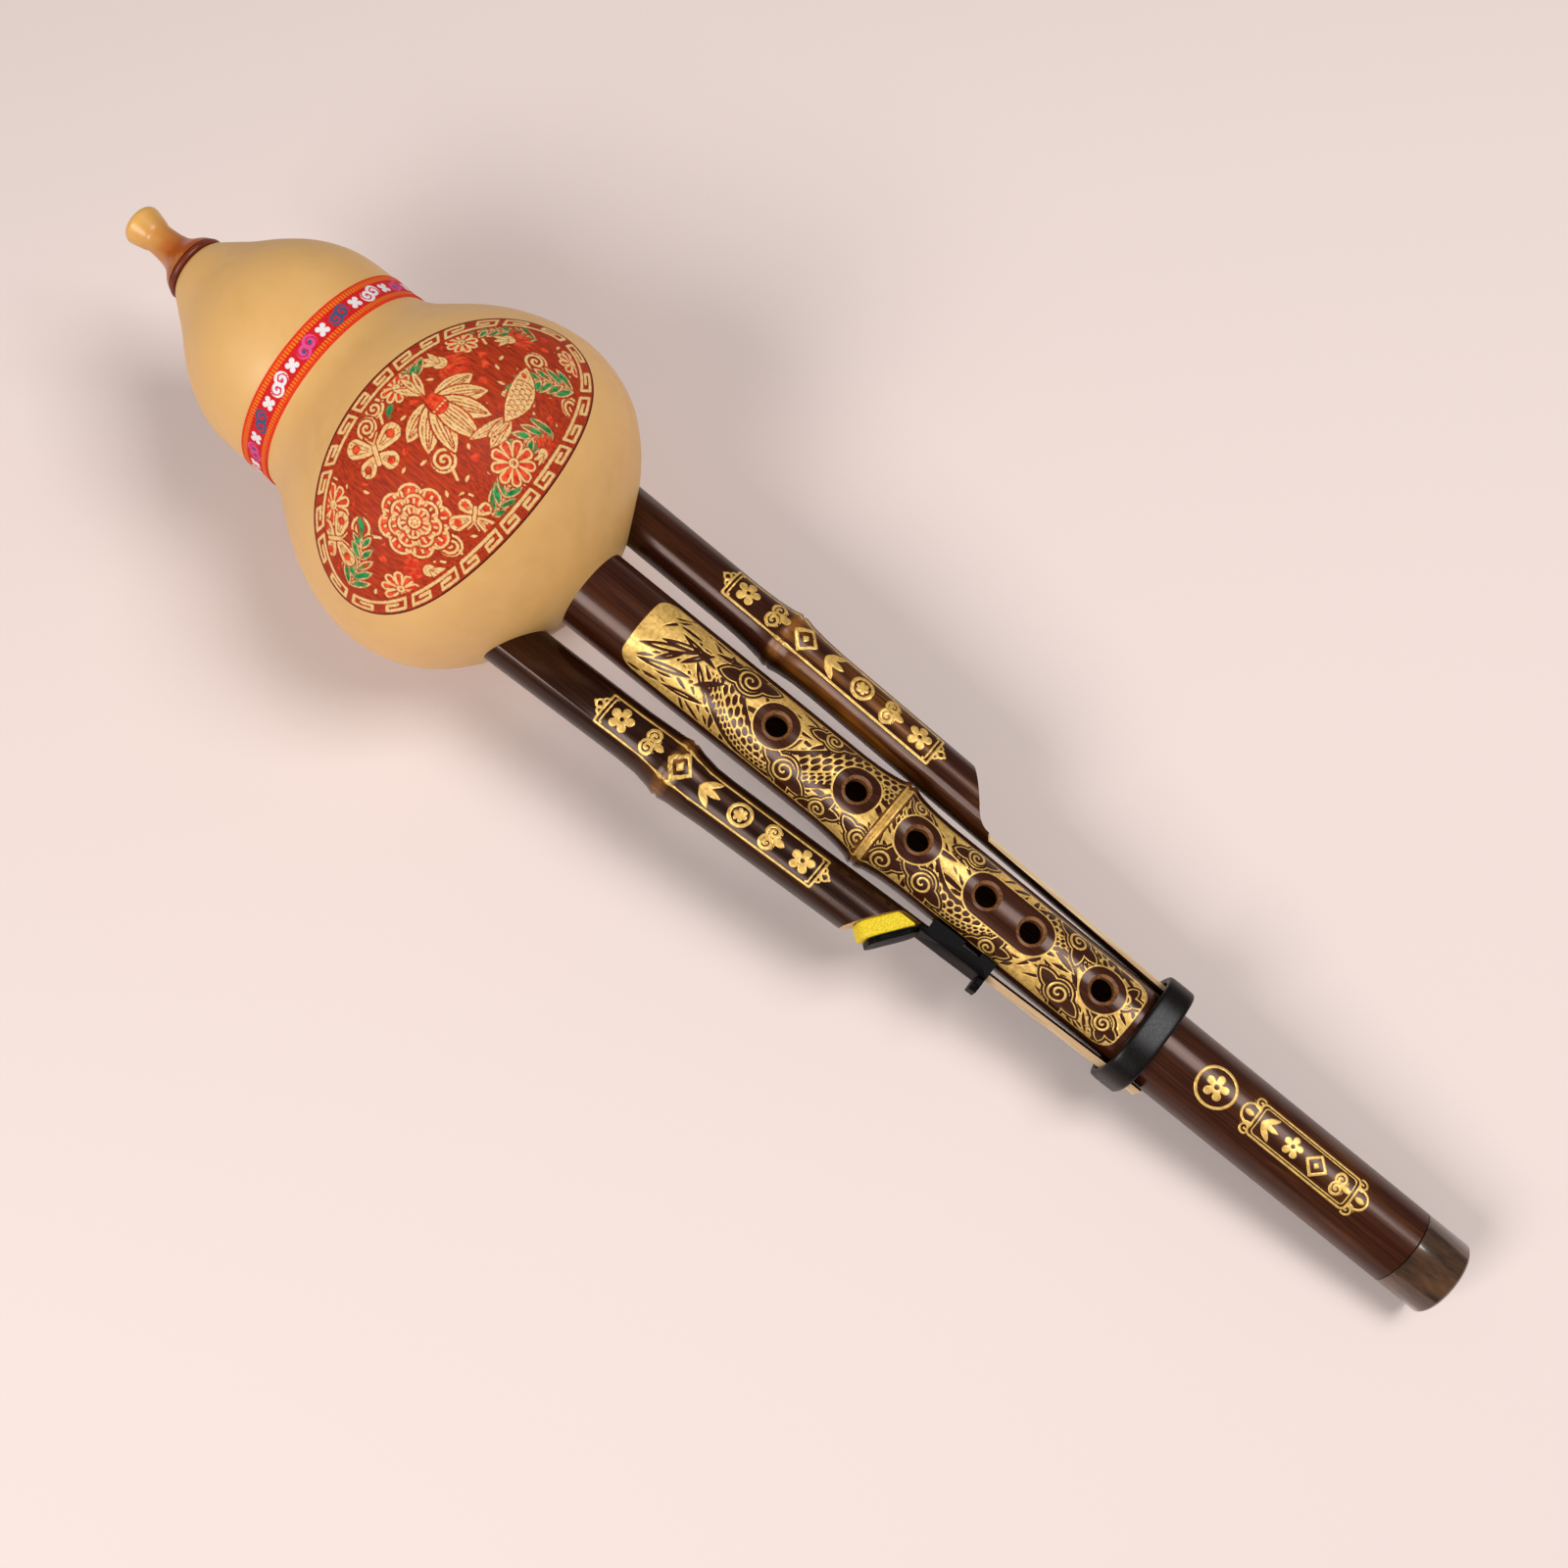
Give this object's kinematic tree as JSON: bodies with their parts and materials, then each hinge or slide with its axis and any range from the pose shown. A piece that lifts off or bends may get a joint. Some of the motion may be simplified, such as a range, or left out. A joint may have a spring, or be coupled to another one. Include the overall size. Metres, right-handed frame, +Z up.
{
  "type": "hulusi gourd flute",
  "caption": "Gourd flute with a melody pipe, two side pipes and a drone switch that slides on a bamboo tongue, lying at rest.",
  "frame": {"origin": "middle of the bottom of the part's box, on the surface that the part lies on", "axes": "+X along the instrument from mouthpiece to tail, +Z up, out of the finger holes; the pipes dip about 7 degrees towards the tail"},
  "size_m": [0.4286, 0.0982, 0.0971],
  "materials": {
    "amber_resin": "turned and polished amber-coloured resin",
    "collar_resin": "dark red-brown polished resin",
    "dried_gourd": "dried gourd skin, satin varnish",
    "woven_ribbon": "jacquard woven polyester ribbon",
    "lacquered_bamboo": "smoked bamboo, polished and lacquered",
    "side_bamboo": "smoked bamboo, polished and lacquered",
    "cork": "pressed cork",
    "reed_brass": "rolled brass sheet",
    "reed_wax": "brown beeswax",
    "polished_horn": "polished smoky horn",
    "black_rubber": "moulded matt black rubber",
    "black_plastic": "moulded satin black plastic",
    "yellow_foam": "yellow soft closed-cell foam"
  },
  "bodies": {
    "hulusi_body": {"mouthpiece": "amber_resin", "mouthpiece_collar": "collar_resin", "gourd_shell": "dried_gourd", "waist_ribbon": "woven_ribbon", "main_pipe": "lacquered_bamboo", "main_pipe_plug": "cork", "main_reed": "reed_brass", "main_reed_wax": "reed_wax", "main_pipe_seal": "reed_wax", "tail_ring": "polished_horn", "left_drone_pipe": "side_bamboo", "left_drone_plug": "cork", "left_drone_reed": "reed_brass", "left_drone_reed_wax": "reed_wax", "left_drone_seal": "reed_wax", "right_side_pipe": "side_bamboo", "right_pipe_plug": "cork", "right_pipe_seal": "reed_wax", "clamp_ring": "black_rubber"},
    "drone_switch": {"drone_slider": "black_plastic", "drone_pad": "yellow_foam"}
  },
  "joints": [
    {"name": "drone_slide", "type": "slide", "parent": "hulusi_body", "child": "drone_switch", "axis": [0.992, 0.0355, -0.1209], "range_m": [0, 0.035]}
  ]
}
